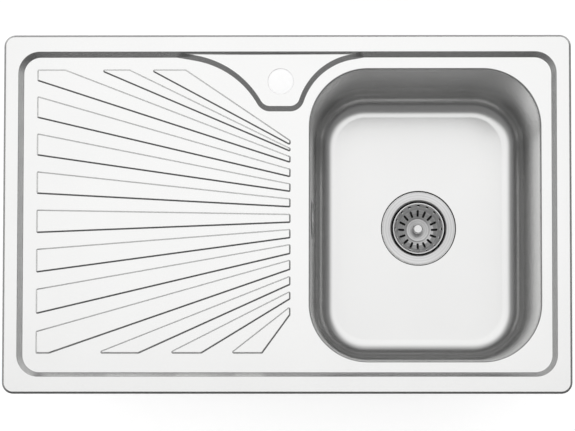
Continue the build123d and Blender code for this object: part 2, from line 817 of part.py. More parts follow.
# Each rib climbs, runs level and falls, over three quarters of its pitch, and both cuffs are smooth.
rib_step = hose_rib_pitch / 4
rib_count = int((hose_path.length - 2 * hose_cuff) / hose_rib_pitch)
first_rib = (hose_path.length - rib_count * hose_rib_pitch) / 2
crest_r = hose_d / 2
root_r = crest_r - hose_rib_depth
hose_sections = [hose_section(0, crest_r), hose_section(first_rib - rib_step, crest_r)]
for index in range(rib_count):
    rib_start = first_rib + index * hose_rib_pitch
    hose_sections.append(hose_section(rib_start, root_r))
    hose_sections.append(hose_section(rib_start + rib_step, crest_r))
    hose_sections.append(hose_section(rib_start + 2 * rib_step, crest_r))
    hose_sections.append(hose_section(rib_start + 3 * rib_step, root_r))
hose_sections.append(hose_section(hose_path.length - first_rib, crest_r))
hose_sections.append(hose_section(hose_path.length, crest_r))

with BuildPart() as overflow_hose:
    loft(hose_sections, ruled=True)
    with BuildSketch(hose_axis.offset(hose_top_z)) as hose_bore:
        Circle(hose_bore_d / 2)
    sweep(hose_bore.sketch, path=hose_path, mode=Mode.SUBTRACT)
overflow_hose.part.label = "overflow_hose"
export_step(overflow_hose.part, "parts/overflow_hose.step")


def hose_nut(base):
    """A nut over a hose joint. The base plane lies at the joint and faces the spigot."""
    with BuildPart() as nut:
        with BuildSketch(base.offset(hose_nut_grip - hose_nut_height)):
            RegularPolygon(hose_nut_d / 2, hose_nut_sides, major_radius=False)
        extrude(amount=hose_nut_height)
        with BuildSketch(base.offset(hose_nut_grip - hose_nut_height)):
            Circle(hose_d / 2 + hose_nut_clearance)
        extrude(amount=hose_nut_height, mode=Mode.SUBTRACT)
        with BuildSketch(base):
            Circle(spigot_d / 2 + thread_clearance)
        extrude(amount=hose_nut_grip, mode=Mode.SUBTRACT)
    return nut.part


hose_nut_upper = hose_nut(hose_axis.offset(hose_top_z))
hose_nut_upper.label = "hose_nut_upper"
export_step(hose_nut_upper, "parts/hose_nut_upper.step")

hose_nut_lower = hose_nut(Plane(origin=(spigot_end_x, bowl_y, spigot_z), z_dir=(1, 0, 0)))
hose_nut_lower.label = "hose_nut_lower"
export_step(hose_nut_lower, "parts/hose_nut_lower.step")


# Clips: each plane stands on a clamping screw's axis, with its X pointing out to the sink's edge.
clip_axis_x = sink_length / 2 - cutout_inset - clip_axis_inset
clip_axis_y = sink_width / 2 - cutout_inset - clip_axis_inset
clip_planes = [Plane(origin=(x, -clip_axis_y, 0), x_dir=(0, -1, 0), z_dir=(0, 0, 1)) for x in clip_front_x]
clip_planes += [Plane(origin=(x, clip_axis_y, 0), x_dir=(0, 1, 0), z_dir=(0, 0, 1)) for x in clip_back_x]
clip_planes += [
    Plane(origin=(side * clip_axis_x, clip_side_y, 0), x_dir=(side, 0, 0), z_dir=(0, 0, 1))
    for side in (-1, 1)
]
bracket_top_z = deck_z - sheet
bracket_bottom_z = bracket_top_z - bracket_height
clip_bore_r = clip_thread_d / 2 + clip_thread_clearance

with BuildPart() as clip_brackets:
    for clip in clip_planes:
        web_back = -bracket_web_offset - bracket_sheet
        with BuildSketch(section_plane(clip)):
            with BuildLine():
                Polyline(
                    (web_back + bracket_top_flange, bracket_top_z),
                    (web_back, bracket_top_z),
                    (web_back, bracket_bottom_z),
                    (bracket_toe, bracket_bottom_z),
                    (bracket_toe, bracket_bottom_z + bracket_sheet),
                    (-bracket_web_offset, bracket_bottom_z + bracket_sheet),
                    (-bracket_web_offset, bracket_top_z - bracket_sheet),
                    (web_back + bracket_top_flange, bracket_top_z - bracket_sheet),
                    close=True,
                )
            make_face()
        extrude(amount=bracket_width / 2, both=True)
        with BuildSketch(clip.offset(bracket_bottom_z + bracket_sheet)):
            Circle(clip_bore_r)
        extrude(amount=-bracket_sheet, mode=Mode.SUBTRACT)
clip_brackets.part.label = "clip_brackets"
export_step(clip_brackets.part, "parts/clip_brackets.step")

clip_nut_z = bracket_bottom_z + bracket_sheet

with BuildPart() as clip_nuts:
    for clip in clip_planes:
        with BuildSketch(clip.offset(clip_nut_z)):
            RegularPolygon(clip_nut_flats / 2, 6, major_radius=False)
            Circle(clip_bore_r, mode=Mode.SUBTRACT)
        extrude(amount=clip_nut_height)
clip_nuts.part.label = "clip_nuts"
export_step(clip_nuts.part, "parts/clip_nuts.step")

clip_tip_z = clip_nut_z + clip_nut_height + clip_screw_proud
clip_head_z = clip_tip_z - clip_screw_length
claw_z = clip_head_z + claw_gap
tooth_count = int(claw_width / claw_tooth_pitch)


def clip_screw(clip):
    """A hexagon-headed screw that hangs head down in the clip's nut."""
    with BuildPart() as screw:
        with BuildSketch(clip.offset(clip_tip_z)):
            Circle(clip_thread_d / 2)
        extrude(amount=-clip_screw_length)
        with BuildSketch(clip.offset(clip_head_z)):
            RegularPolygon(clip_nut_flats / 2, 6, major_radius=False)
        extrude(amount=-clip_head_height)
    return screw.part


def clip_claw(clip):
    """A flat arm on the screw's head, with a toothed toe turned up at its end. It lies along the
    sink's edge, as it does until the sink is in its cut-out."""
    arm = Plane(origin=clip.origin, x_dir=clip.y_dir * -1, z_dir=clip.z_dir)
    toe_top_z = claw_z + claw_sheet + claw_toe_height
    with BuildPart() as claw:
        with BuildSketch(arm.offset(claw_z)):
            Circle(claw_width / 2)
            with Locations((claw_reach / 2, 0)):
                Rectangle(claw_reach, claw_width)
            Circle(clip_bore_r, mode=Mode.SUBTRACT)
        extrude(amount=claw_sheet)
        with BuildSketch(arm.offset(claw_z + claw_sheet)):
            with Locations((claw_reach - claw_sheet / 2, 0)):
                Rectangle(claw_sheet, claw_width)
        extrude(amount=claw_toe_height)
        toe_plane = Plane(
            origin=arm.from_local_coords((claw_reach, 0, toe_top_z)), x_dir=arm.y_dir, z_dir=arm.x_dir
        )
        with BuildSketch(toe_plane):
            for index in range(1, tooth_count):
                with Locations((claw_tooth_pitch * (index - tooth_count / 2), 0)):
                    RegularPolygon(claw_tooth_pitch / 2, 4)
        extrude(amount=-claw_sheet, mode=Mode.SUBTRACT)
    return claw.part


for index, clip in enumerate(clip_planes, start=1):
    screw_piece = clip_screw(clip)
    screw_piece.label = f"clip_screw_{index}"
    export_step(screw_piece, f"parts/clip_screw_{index}.step")
    claw_piece = clip_claw(clip)
    claw_piece.label = f"clip_claw_{index}"
    export_step(claw_piece, f"parts/clip_claw_{index}.step")
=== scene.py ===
import json
import math

import bpy
import numpy as np
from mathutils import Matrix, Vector
from mathutils.geometry import delaunay_2d_cdt


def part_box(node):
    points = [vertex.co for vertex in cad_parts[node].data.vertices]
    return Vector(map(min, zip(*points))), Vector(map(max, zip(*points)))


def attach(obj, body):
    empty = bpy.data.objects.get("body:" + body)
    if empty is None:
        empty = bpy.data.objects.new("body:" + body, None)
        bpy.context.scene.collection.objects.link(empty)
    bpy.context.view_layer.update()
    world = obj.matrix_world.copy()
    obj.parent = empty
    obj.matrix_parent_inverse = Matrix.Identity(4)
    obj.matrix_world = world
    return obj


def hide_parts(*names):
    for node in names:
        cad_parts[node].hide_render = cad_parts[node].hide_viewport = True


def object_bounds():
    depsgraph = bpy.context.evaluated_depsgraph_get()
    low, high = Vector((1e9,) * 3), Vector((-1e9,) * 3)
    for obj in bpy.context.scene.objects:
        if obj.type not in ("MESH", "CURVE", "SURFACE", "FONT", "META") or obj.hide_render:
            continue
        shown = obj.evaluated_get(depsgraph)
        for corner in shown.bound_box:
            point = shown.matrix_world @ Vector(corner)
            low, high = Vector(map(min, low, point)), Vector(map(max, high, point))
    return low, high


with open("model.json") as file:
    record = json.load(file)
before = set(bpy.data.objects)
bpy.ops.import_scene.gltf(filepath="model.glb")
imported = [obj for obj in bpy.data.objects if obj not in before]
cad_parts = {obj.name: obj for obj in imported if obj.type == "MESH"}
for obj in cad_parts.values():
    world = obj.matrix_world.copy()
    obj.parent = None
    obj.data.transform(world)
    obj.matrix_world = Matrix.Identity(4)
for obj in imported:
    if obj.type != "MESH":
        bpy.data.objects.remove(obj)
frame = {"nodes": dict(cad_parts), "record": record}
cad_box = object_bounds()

nodes = frame["nodes"]
scene = bpy.context.scene
scene.view_settings.view_transform = "Standard"

deck_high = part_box("deck_panel")[1]
bowl_low, bowl_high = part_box("bowl")
bowl_centre = np.array([(bowl_low.x + bowl_high.x) / 2, (bowl_low.y + bowl_high.y) / 2])


# ---------------------------------------------------------------- node trees
class Tree:
    """A small builder for the nodes of a material or of the world. It passes values on as sockets."""

    # A Mix node's inputs share their names between kinds, so its colour sockets go by number.
    MIX_A, MIX_B, MIXED = 6, 7, 2

    def __init__(self, tree):
        self.tree = tree

    def add(self, kind, **values):
        """A new node. Each value goes to the input of that name, or else to the node's own setting."""
        node = self.tree.nodes.new(kind)
        for key, value in values.items():
            if key in node.inputs:
                node.inputs[key].default_value = value
            else:
                setattr(node, key, value)
        return node

    def link(self, source, node, into):
        self.tree.links.new(source, node.inputs[into])

    def math(self, operation, *values):
        """The result of a sum whose parts are sockets or numbers."""
        node = self.add("ShaderNodeMath", operation=operation)
        for index, value in enumerate(values):
            if isinstance(value, (int, float)):
                node.inputs[index].default_value = value
            else:
                self.link(value, node, index)
        return node.outputs[0]

    def ramp(self, source, stops):
        """A colour that follows a socket, from rows of a place and a colour."""
        node = self.add("ShaderNodeValToRGB")
        elements = node.color_ramp.elements
        for element, (place, colour) in zip(elements, stops):
            element.position = place
            element.color = (*colour, 1)
        for place, colour in stops[len(elements):]:
            elements.new(place).color = (*colour, 1)
        self.link(source, node, "Fac")
        return node.outputs["Color"]

    def tint(self, first, second):
        """One colour times another."""
        node = self.add("ShaderNodeMix", data_type="RGBA", blend_type="MULTIPLY", Factor=1.0)
        self.link(first, node, self.MIX_A)
        self.link(second, node, self.MIX_B)
        return node.outputs[self.MIXED]

    def smooth(self, value, low, high):
        """0 below the low value and 1 above the high one, with a soft step between them."""
        node = self.add("ShaderNodeMapRange", interpolation_type="SMOOTHSTEP")
        node.inputs["From Min"].default_value = low
        node.inputs["From Max"].default_value = high
        self.link(value, node, "Value")
        return node.outputs["Result"]

    def window(self, value, edges):
        """1 between the two middle edges, falling softly to 0 at the outer ones."""
        fall = self.smooth(value, edges[2], edges[3])
        return self.math("MULTIPLY", self.smooth(value, edges[0], edges[1]), self.math("SUBTRACT", 1.0, fall))

    def blend(self, low, high, share):
        """One level where the share is 0 and the other where it is 1."""
        rest = self.math("MULTIPLY", low, self.math("SUBTRACT", 1.0, share))
        return self.math("MULTIPLY_ADD", high, share, rest)


# ---------------------------------------------------------------- materials
NOISE_ROUGHNESS = 0.55
# The grain moves a steel's roughness from the least share up by the spread, and broad clouds dim its tone.
GRAIN_LEAST, GRAIN_SPREAD = 0.88, 0.24
GRAIN_DETAIL, GRAIN_HEIGHT = 2.0, 0.0002
CLOUD_SCALE, CLOUD_TONE = 9.0, 0.985
# Painted shade down in a pressed bowl: a darker tone deeper down. Its ramp follows the height, from 0 at the
# reach below the rim to 1.
DEEP_SHADE_TONE, DEEP_SHADE_REACH, DEEP_SHADE_RAMP = 0.94, 0.2, (0.25, 0.9)
# The dull mill finish of a pressed sheet's outside.
OUTSIDE_TONE, OUTSIDE_ROUGHNESS = 0.66, 0.22
# The rings that a lathe leaves.
RING_TONE, RING_RAMP, RING_STRENGTH = 0.88, (0.1, 0.9), 0.08
RING_WOBBLE, RING_DETAIL, RING_DETAIL_SCALE = 0.4, 3.0, 1.5
# The part of the noise's range in which a mottled colour goes from dim to full.
MOTTLE_RAMP = (0.3, 0.7)
# The mottle of plastic, rubber and foam.
MOTTLE_TONE, MOTTLE_DETAIL, MOTTLE_HEIGHT = 0.9, 4.0, 0.0004


def grey(value):
    return (value, value, value)


def dimmed(colour, share):
    return tuple(part * share for part in colour)


class Material(Tree):
    """A procedural material, built round its Principled shader."""

    def __init__(self, name, **values):
        self.data = bpy.data.materials.new(name)
        self.data.use_nodes = True
        super().__init__(self.data.node_tree)
        self.shader = self.tree.nodes["Principled BSDF"]
        for key, value in values.items():
            self.shader.inputs[key].default_value = value

    def noise(self, scale, detail):
        """Noise that stays with its piece."""
        where = self.add("ShaderNodeTexCoord")
        node = self.add("ShaderNodeTexNoise", Scale=scale, Detail=detail, Roughness=NOISE_ROUGHNESS)
        self.link(where.outputs["Object"], node, "Vector")
        return node.outputs["Fac"]

    def mottle(self, source, share, colour):
        """A colour that dims a little where the noise is low."""
        low, high = MOTTLE_RAMP
        return self.ramp(source, [(low, dimmed(colour, share)), (high, colour)])

    def split(self, vector):
        """The three parts of a vector."""
        node = self.add("ShaderNodeSeparateXYZ")
        self.link(vector, node, "Vector")
        return node.outputs

    def bump(self, source, strength, height):
        node = self.add("ShaderNodeBump", Strength=strength, Distance=height)
        self.link(source, node, "Height")
        self.link(node.outputs["Normal"], self.shader, "Normal")


def steel(name, colour, roughness, grain_scale, grain, inner_point=None):
    """Stainless steel with a fine grain. A pressed sheet, which has an inner point, gets painted shade down
    in the bowl, a darker tone deeper down, and a dull mill finish on its outside, where its faces look away
    from that point."""
    m = Material(name, Metallic=1.0, Roughness=roughness)
    fine = m.noise(grain_scale, GRAIN_DETAIL)
    tone = m.mottle(m.noise(CLOUD_SCALE, GRAIN_DETAIL), CLOUD_TONE, colour)
    level = m.math("MULTIPLY_ADD", fine, roughness * GRAIN_SPREAD, roughness * GRAIN_LEAST)
    if inner_point:
        geometry = m.add("ShaderNodeNewGeometry")
        # Painted shade: the tone darkens deeper down in the bowl.
        depth = m.math("MULTIPLY_ADD", m.split(geometry.outputs["Position"])["Z"], 1 / DEEP_SHADE_REACH, 1.0)
        full_shade_place, shade_start_place = DEEP_SHADE_RAMP
        tone = m.tint(tone, m.ramp(depth, [(full_shade_place, grey(DEEP_SHADE_TONE)), (shade_start_place, grey(1.0))]))
        away = m.add("ShaderNodeVectorMath", operation="SUBTRACT")
        m.link(geometry.outputs["Position"], away, 0)
        away.inputs[1].default_value = inner_point
        facing = m.add("ShaderNodeVectorMath", operation="DOT_PRODUCT")
        m.link(geometry.outputs["True Normal"], facing, 0)
        m.link(away.outputs["Vector"], facing, 1)
        outside = m.math("GREATER_THAN", facing.outputs["Value"], 0.0)
        tone = m.tint(tone, m.ramp(outside, [(0.0, grey(1.0)), (1.0, grey(OUTSIDE_TONE))]))
        level = m.math("MULTIPLY_ADD", outside, OUTSIDE_ROUGHNESS, level)
    m.link(tone, m.shader, "Base Color")
    m.link(level, m.shader, "Roughness")
    m.bump(fine, grain, GRAIN_HEIGHT)
    return m.data


def turned(name, rings, roughness, anisotropy, metallic, shade_by_radius, shade_by_height=None):
    """Steel turned on a lathe: rings round its axis, a radial sheen, and painted shade as tones by radius,
    which is
    0.5 at the piece's edge, and by height, which is 1 at its top."""
    m = Material(name, Metallic=metallic, Roughness=roughness, Anisotropic=anisotropy)
    where = m.add("ShaderNodeTexCoord")
    centred = m.add("ShaderNodeMapping", Location=(-0.5, -0.5, 0))
    m.link(where.outputs["Generated"], centred, "Vector")
    wave = m.add("ShaderNodeTexWave", wave_type="RINGS", rings_direction="Z", Scale=rings,
                 Distortion=RING_WOBBLE, Detail=RING_DETAIL)
    wave.inputs["Detail Scale"].default_value = RING_DETAIL_SCALE
    m.link(centred.outputs["Vector"], wave, "Vector")
    dark_ring, light_ring = RING_RAMP
    tone = m.ramp(wave.outputs["Fac"], [(dark_ring, grey(RING_TONE)), (light_ring, grey(1.0))])
    place = m.split(centred.outputs["Vector"])
    across = m.math("MULTIPLY", place["X"], place["X"])
    square = m.math("MULTIPLY_ADD", place["Y"], place["Y"], across)
    # Painted shade: darker tones by radius and by height.
    tone = m.tint(tone, m.ramp(m.math("POWER", square, 0.5), shade_by_radius))
    if shade_by_height:
        tone = m.tint(tone, m.ramp(place["Z"], shade_by_height))
    m.link(tone, m.shader, "Base Color")
    tangent = m.add("ShaderNodeTangent", direction_type="RADIAL", axis="Z")
    m.link(tangent.outputs["Tangent"], m.shader, "Tangent")
    m.bump(wave.outputs["Fac"], RING_STRENGTH, GRAIN_HEIGHT)
    return m.data


def plain(name, colour, roughness, mottle_scale, strength):
    """Plastic, rubber or foam with a fine mottle."""
    m = Material(name, Roughness=roughness)
    fine = m.noise(mottle_scale, MOTTLE_DETAIL)
    m.link(m.mottle(fine, MOTTLE_TONE, colour), m.shader, "Base Color")
    m.bump(fine, strength, MOTTLE_HEIGHT)
    return m.data


SATIN = (0.91, 0.91, 0.905)
# The deck's outside looks down, away from a point far above it, and the bowl's away from the bowl's middle.
ABOVE_DECK = (0, 0, 9)
INSIDE_BOWL = (*bowl_centre, -0.06)
deck_steel = steel("deck_steel", SATIN, 0.26, 900, 0.10, ABOVE_DECK)
bowl_steel = steel("bowl_steel", SATIN, 0.26, 900, 0.10, INSIDE_BOWL)
# Painted shade: the flange's cup is dark below its top and darker round its mouth, and the dish in the middle
# of the basket is darker than its rest.
flange_steel = turned(
    "flange_steel", rings=9.0, roughness=0.36, anisotropy=0.90, metallic=1.0,
    shade_by_radius=[(0.36, grey(0.66)), (0.41, grey(0.90)), (0.5, grey(0.92))],
    shade_by_height=[(0.80, grey(0.10)), (0.96, grey(1.0))])
basket_steel = turned(
    "basket_steel", rings=7.0, roughness=0.32, anisotropy=0.85, metallic=0.88,
    shade_by_radius=[(0.20, grey(0.64)), (0.26, grey(0.92))])
materials = {
    "satin_steel": deck_steel,
    "polished_steel": steel("polished_steel", grey(0.72), 0.18, 700, 0.04),
    "plated_steel": steel("plated_steel", (0.66, 0.67, 0.66), 0.30, 500, 0.10),
    "foam": plain("foam", (0.045, 0.045, 0.047), 0.9, 900, 0.5),
    "bitumen": plain("bitumen", (0.035, 0.036, 0.038), 0.75, 400, 0.6),
    "rubber": plain("rubber", (0.03, 0.03, 0.03), 0.6, 500, 0.2),
    "moulded_plastic": plain("moulded_plastic", (0.78, 0.78, 0.76), 0.42, 600, 0.12),
    "hose_plastic": plain("hose_plastic", (0.70, 0.71, 0.71), 0.45, 600, 0.10),
}
own_materials = {"bowl": bowl_steel, "waste_flange": flange_steel, "strainer_basket": basket_steel}
for row in frame["record"]["subparts"]:
    mesh = nodes[row["node"]].data
    mesh.materials.clear()
    mesh.materials.append(own_materials.get(row["node"]) or materials[row["material_slot"]])


# ---------------------------------------------------------------- pressed deck
# The deck's sizes, as its CAD solid has them, with the small bend radii that a pressed sheet shows.
SHEET = 0.0008
RIM_Z = deck_high.z
RIM_CORNER = 0.016
RIM_EDGE = 0.0035
RIM_SLOPE = math.radians(31)
RIM_BEND = 0.001
RIM_TURN = 0.0009
SKIRT_Z = 0.0005
DECK_Z = -0.002
LEDGE_Z = 0.002
RECESS_END = 0.0207
RECESS_SIDE = 0.024
RECESS_CORNER = 0.030
RECESS_RUN = 0.006
RECESS_BEND = 0.0015
LEDGE_RUN = 0.0065
LEDGE_BEND = 0.0015
LEDGE_DEPTH = 0.0786
# The ledge's nose and its flare on the left side, -1, and on the right side, 1: where the nose's arc is
# centred and its radius, then the flare's radius and how far its arc turns.
NOSE = {-1: (-0.024, 0.018), 1: (0.0035, 0.017)}
FLARE = {-1: (0.128, math.radians(60)), 1: (0.090, math.radians(72))}
LEAD_IN = math.radians(10)
TAP_HOLE = np.array([-0.0093, 0.1853])
TAP_RADIUS = 0.0175
TAP_LIP = 0.0006
BOWL_CORNER = 0.080
MOUTH_Z = -0.012
MOUTH_EDGE = 0.003
RIB_RISE = 0.0015
RIB_RUN = 0.0018
RIB_BEND = 0.001
RIB_CORNER = 0.0022
FAN_LEFT, FAN_RIGHT, FAN_BACK, FAN_FRONT = -0.3497, 0.0044, 0.203, -0.194
# Each rib's back edge and front edge, as heights Y in millimetres at the fan's left and right ends.
RIBS = [
    (344.0, 286.6, 103.5, 96.0), (266.5, 238.8, 92.5, 87.0), (218.2, 187.0, 81.0, 71.5),
    (165.9, 135.2, 63.5, 51.5), (113.6, 82.4, 43.0, 31.0), (60.3, 28.7, 22.0, 9.5),
    (6.6, -26.1, 0.5, -12.0), (-48.2, -81.4, -20.5, -33.5), (-104.0, -139.2, -41.5, -55.5),
    (-162.8, -200.5, -63.0, -77.5), (-226.2, -258.9, -85.5, -98.5), (-286.5, -334.8, -106.5, -118.5),
    (-405.4, -626.1, -127.5, -140.5),
]
deck_half = np.array([deck_high.x, deck_high.y])
bowl_half = np.array([bowl_high.x - bowl_low.x, bowl_high.y - bowl_low.y]) / 2 - SHEET
recess_half = deck_half - np.array([RECESS_END, RECESS_SIDE])
ledge_front = recess_half[1] - LEDGE_DEPTH

# Limits of the meshing: points closer than a micrometre are one, corners below the sharp radius stay
# plain, a bend's ends have a small tolerance, and a slope is measured over a small step.
POINTS_PER_METRE = 1e6
SHARP = 1e-5
SNAP = 1e-7
TOLERANCE = 1e-9
SLOPE_STEP = 2e-6
ARC_STEP = math.radians(2.5)
RIGHT_ANGLE = math.radians(90)


class Bend:
    """A sloped step with a bend at its foot and one at its head, as height against distance."""

    def __init__(self, run, rise, bend, segments):
        self.run, self.rise, self.bend = run, rise, bend
        angle = math.atan2(rise, run)
        self.reach = bend * math.tan(angle / 2)
        self.span = bend * math.sin(angle)
        turns = [bend * math.sin(angle * k / segments) for k in range(segments + 1)]
        self.offsets = [turn - self.reach for turn in turns]
        self.offsets += [run + self.reach - turn for turn in reversed(turns)]

    def height(self, distance):
        foot = np.clip(distance + self.reach, 0, self.span)
        head = np.clip(self.run + self.reach - distance, 0, self.span)
        low = self.bend - np.sqrt(self.bend ** 2 - foot ** 2)
        high = self.rise - (self.bend - np.sqrt(self.bend ** 2 - head ** 2))
        level = distance * self.rise / self.run
        past_foot = distance > foot - self.reach + TOLERANCE
        past_head = distance > self.run + self.reach - head - TOLERANCE
        return np.where(past_head, high, np.where(past_foot, level, low))


recess_step = Bend(RECESS_RUN, RIM_Z - DECK_Z, RECESS_BEND, 5)
ledge_step = Bend(LEDGE_RUN, LEDGE_Z - DECK_Z, LEDGE_BEND, 4)
rib_step = Bend(RIB_RUN, RIB_RISE, RIB_BEND, 3)


def rounded_rectangle(half, radius, centre=(0, 0), segments=20):
    """Points and outward directions of a rounded rectangle, anticlockwise."""
    points, outward = [], []
    for corner, side in enumerate(((1, 1), (-1, 1), (-1, -1), (1, -1))):
        middle = np.array(centre) + np.array(side) * (half - radius)
        for k in range(segments + 1):
            angle = RIGHT_ANGLE * (corner + k / segments)
            way = np.array([math.cos(angle), math.sin(angle)])
            points.append(middle + way * radius)
            outward.append(way)
    return np.array(points), np.array(outward)


def rounded_distance(points, half, radius):
    """How far each point lies inside a rounded rectangle round the origin."""
    past = np.abs(points) - (half - radius)
    return radius - np.hypot(*np.maximum(past, 0).T) - np.minimum(past.max(axis=1), 0)


def inset_polygon(corners, inset):
    """The corners of a convex anticlockwise polygon after each side moves in."""
    sides = np.roll(corners, -1, axis=0) - corners
    sides /= np.hypot(*sides.T)[:, None]
    inward = np.stack([-sides[:, 1], sides[:, 0]], axis=1)
    moved = []
    for k in range(len(corners)):
        a, b = sides[k - 1], sides[k]
        start, goal = corners[k - 1] + inward[k - 1] * inset, corners[k] + inward[k] * inset
        along = (b[1] * (goal - start)[0] - b[0] * (goal - start)[1]) / (a[0] * b[1] - a[1] * b[0])
        moved.append(start + a * along)
    return np.array(moved)


def rounded_polygon(corners, radius, segments=5):
    """A convex anticlockwise polygon with its corners rounded."""
    if radius < SHARP:
        return corners
    centres = inset_polygon(corners, radius)
    points = []
    for k in range(len(corners)):
        before, after = corners[k] - corners[k - 1], corners[(k + 1) % len(corners)] - corners[k]
        start = math.atan2(before[1], before[0]) - RIGHT_ANGLE
        turn = (math.atan2(after[1], after[0]) - RIGHT_ANGLE - start) % math.tau
        for step in range(segments + 1):
            angle = start + turn * step / segments
            points.append(centres[k] + radius * np.array([math.cos(angle), math.sin(angle)]))
    return np.array(points)


def segment_distance(points, a, b):
    """How far each point lies from the segment between two ends."""
    side = b - a
    along = np.clip((points - a) @ side / (side @ side), 0, 1)
    return np.hypot(*(points - a - along[:, None] * side).T)


def polygon_distance(points, corners):
    """How far each point lies inside a convex anticlockwise polygon."""
    nearest = np.full(len(points), np.inf)
    inside = np.full(len(points), np.inf)
    for a, b in zip(corners, np.roll(corners, -1, axis=0)):
        side, from_a = b - a, points - a
        nearest = np.minimum(nearest, segment_distance(points, a, b))
        inside = np.minimum(inside, (side[0] * from_a[:, 1] - side[1] * from_a[:, 0]) / np.hypot(*side))
    return np.where(inside > 0, inside, -nearest)


def rib_outline(back_left, front_left, back_right, front_right):
    """A rib's corners: its two long edges, cut to the fan's frame."""
    corners = [(FAN_LEFT, front_left / 1000), (FAN_RIGHT, front_right / 1000),
               (FAN_RIGHT, back_right / 1000), (FAN_LEFT, back_left / 1000)]
    for limit, keep in ((FAN_BACK, -1), (FAN_FRONT, 1)):
        cut = []
        for (ax, ay), (bx, by) in zip(corners, corners[1:] + corners[:1]):
            if (ay - limit) * keep >= 0:
                cut.append((ax, ay))
            if (ay - limit) * (by - limit) < 0:
                share = (limit - ay) / (by - ay)
                cut.append((ax + (bx - ax) * share, limit))
        corners = cut
    return np.array(corners)


rib_outlines = [rib_outline(*row) for row in RIBS]


def ledge_side(side, spread):
    """The two arcs on one side of the tap ledge, from its nose outwards."""
    nose_x, nose_radius = NOSE[side]
    flare_radius, turn = FLARE[side]
    nose_centre = np.array([nose_x, ledge_front + nose_radius])
    way = np.array([side * math.sin(turn), -math.cos(turn)])
    flare_centre = nose_centre + way * (nose_radius + flare_radius)
    return [(nose_centre, nose_radius + spread, -RIGHT_ANGLE, turn - RIGHT_ANGLE),
            (flare_centre, flare_radius - spread, turn + RIGHT_ANGLE, LEAD_IN + RIGHT_ANGLE)]


def ledge_outline(spread):
    """The ledge's outline from left to right, moved out by a spread from the middle of its slope. Each
    side ends in a straight lead to the back."""
    halves = {}
    for side in (-1, 1):
        points = []
        for centre, radius, start, end in ledge_side(side, spread):
            steps = int(abs(end - start) / ARC_STEP) + 1
            for k in range(steps + 1):
                angle = start + (end - start) * k / steps
                points.append(centre + radius * np.array([side * math.cos(angle), math.sin(angle)]))
        lead = (deck_high.y - RIM_EDGE * 2 - points[-1][1]) / math.sin(LEAD_IN)
        points.append(points[-1] + lead * np.array([side * math.cos(LEAD_IN), math.sin(LEAD_IN)]))
        halves[side] = points
    return np.array(halves[-1][::-1] + halves[1])


ledge_middle = ledge_outline(0)


def ledge_distance(points):
    """How far each point lies inside the ledge, from the foot of its slope."""
    nearest = np.abs(points[:, 1] - ledge_front)
    nearest[(points[:, 0] < NOSE[-1][0]) | (points[:, 0] > NOSE[1][0])] = np.inf
    for side, lead in ((-1, ledge_middle[1::-1]), (1, ledge_middle[-2:])):
        for centre, radius, start, end in ledge_side(side, 0):
            away = points - centre
            low, high = min(start, end), max(start, end)
            middle = (low + high) / 2
            turned_by = np.arctan2(away[:, 1], away[:, 0] * side) - middle
            angle = middle + (turned_by + math.pi) % math.tau - math.pi
            gap = np.abs(np.hypot(*away.T) - radius)
            gap[(angle < low) | (angle > high)] = np.inf
            nearest = np.minimum(nearest, gap)
        nearest = np.minimum(nearest, segment_distance(points, *lead))
    outline_y = np.interp(points[:, 0], ledge_middle[:, 0], ledge_middle[:, 1])
    return np.where(points[:, 1] > outline_y, nearest, -nearest) + LEDGE_RUN / 2


def deck_height(points):
    """The height of the deck's top face: the recess, with the ledge and the ribs raised in it."""
    recess = recess_step.height(RECESS_RUN - rounded_distance(points, recess_half, RECESS_CORNER))
    height = np.maximum(recess, ledge_step.height(ledge_distance(points))) + DECK_Z
    for outline in rib_outlines:
        inside = polygon_distance(points, inset_polygon(outline, RIB_CORNER)) + RIB_CORNER
        height = np.maximum(height, rib_step.height(inside) + DECK_Z)
    return height


def deck_normals(points):
    """The directions of the deck's top face."""
    slope = [(deck_height(points + way) - deck_height(points - way)) / (2 * SLOPE_STEP)
             for way in (np.array([SLOPE_STEP, 0]), np.array([0, SLOPE_STEP]))]
    normals = np.column_stack([-slope[0], -slope[1], np.ones(len(points))])
    return normals / np.linalg.norm(normals, axis=1)[:, None]


